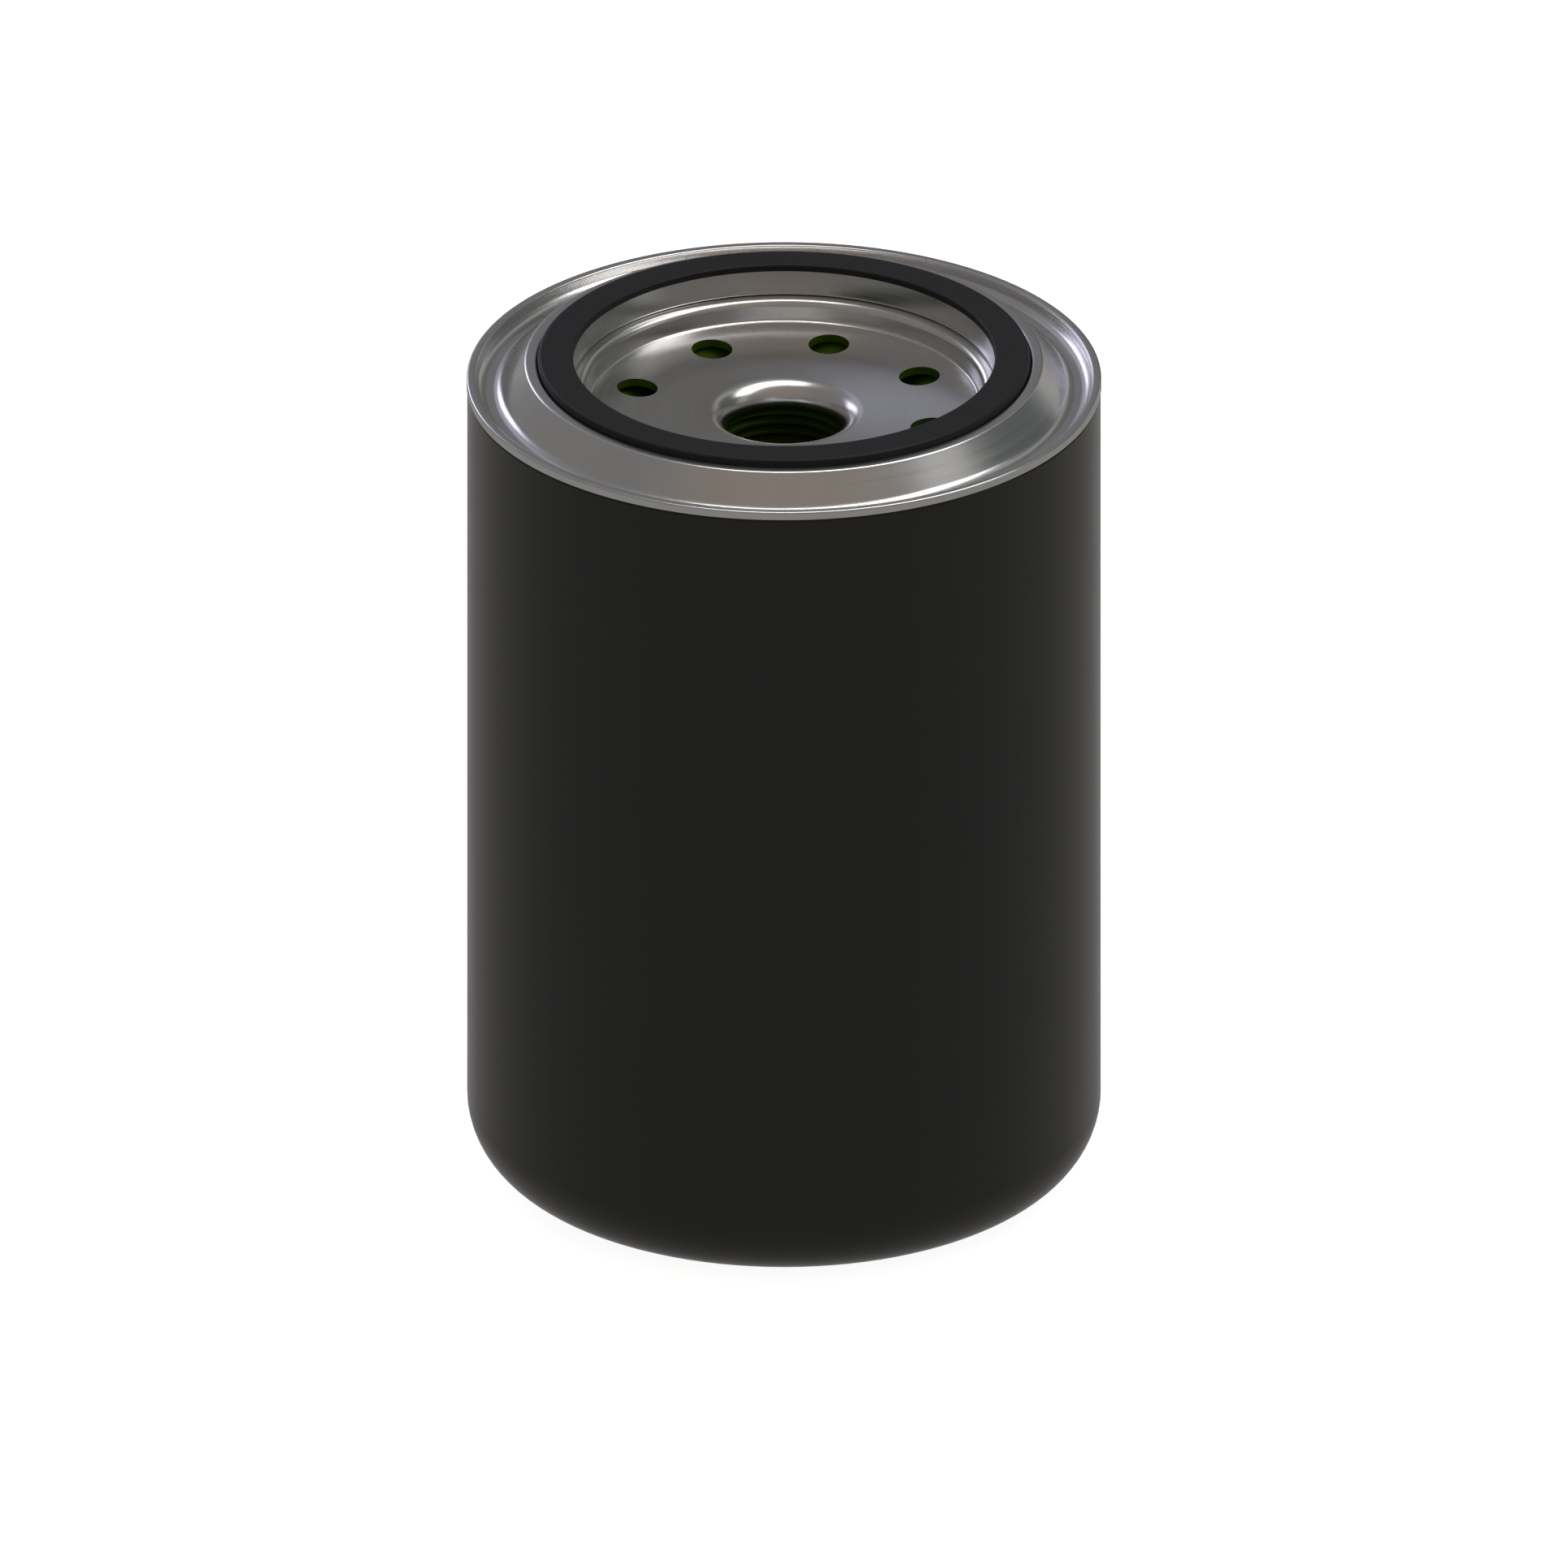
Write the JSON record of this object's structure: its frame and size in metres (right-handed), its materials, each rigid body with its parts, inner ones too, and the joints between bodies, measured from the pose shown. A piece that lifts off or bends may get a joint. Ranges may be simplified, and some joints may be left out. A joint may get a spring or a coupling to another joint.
{
  "type": "spin-on oil filter",
  "caption": "Spin-on engine oil filter: drawn can with a seamed lid, gasket and holed base plate, holding a pleated element, drain-back diaphragm and bypass valve.",
  "frame": {"origin": "centre of the can's base, in the plane that its standing ring rests on", "axes": "+Z along the can's axis from the closed base to the thread end, +X through the middle of one oil inlet hole"},
  "size_m": [0.0932, 0.0932, 0.1301],
  "materials": {
    "can_paint": "semi-gloss black stoved paint",
    "lid_steel": "bright zinc-plated pressed steel",
    "seam_compound": "matte",
    "gasket_rubber": "smooth moulded nitrile, satin",
    "plate_steel": "bright pressed steel",
    "bush_steel": "turned, olive-green passivated",
    "valve_rubber": "moulded green rubber, satin",
    "cap_steel": "tin-plated pressed steel",
    "potting": "cured plastisol, satin",
    "filter_paper": "resin-cured filter paper, matte",
    "cord": "twisted glass cord, matte",
    "tube_steel": "perforated galvanised steel",
    "valve_steel": "plated pressed steel",
    "seal_rubber": "matte",
    "spring_steel": "drawn spring wire"
  },
  "bodies": {
    "housing": {"canister": "can_paint", "seaming_lid": "lid_steel", "seam_compound": "seam_compound", "gasket": "gasket_rubber", "base_plate": "plate_steel", "threaded_bush": "bush_steel", "drainback_neck": "valve_rubber", "support_spring": "spring_steel"},
    "diaphragm": {"drainback_flap": "valve_rubber"},
    "element": {"upper_end_cap": "cap_steel", "upper_potting": "potting", "pleated_media": "filter_paper", "pleat_cords": "cord", "media_clip": "cap_steel", "centre_tube": "tube_steel", "lower_potting": "potting", "lower_end_cap": "cap_steel", "bypass_cage": "valve_steel", "bypass_spring": "spring_steel", "spring_seat": "valve_steel"},
    "poppet": {"bypass_poppet": "valve_steel", "bypass_seal": "seal_rubber"}
  },
  "joints": [
    {"name": "drainback_open", "type": "slide", "parent": "housing", "child": "diaphragm", "axis": [0, 0, -1], "range_m": [0, 0.0015], "stiffness_N_per_m": 200, "springref_m": -0.0012},
    {"name": "element_float", "type": "slide", "parent": "housing", "child": "element", "axis": [0, 0, -1], "range_m": [0, 0.002], "stiffness_N_per_m": 12000, "springref_m": -0.0015, "deforming": ["support_spring"]},
    {"name": "bypass_open", "type": "slide", "parent": "element", "child": "poppet", "axis": [0, 0, 1], "range_m": [0, 0.004], "stiffness_N_per_m": 2000, "springref_m": -0.0004, "deforming": ["bypass_spring"]}
  ]
}
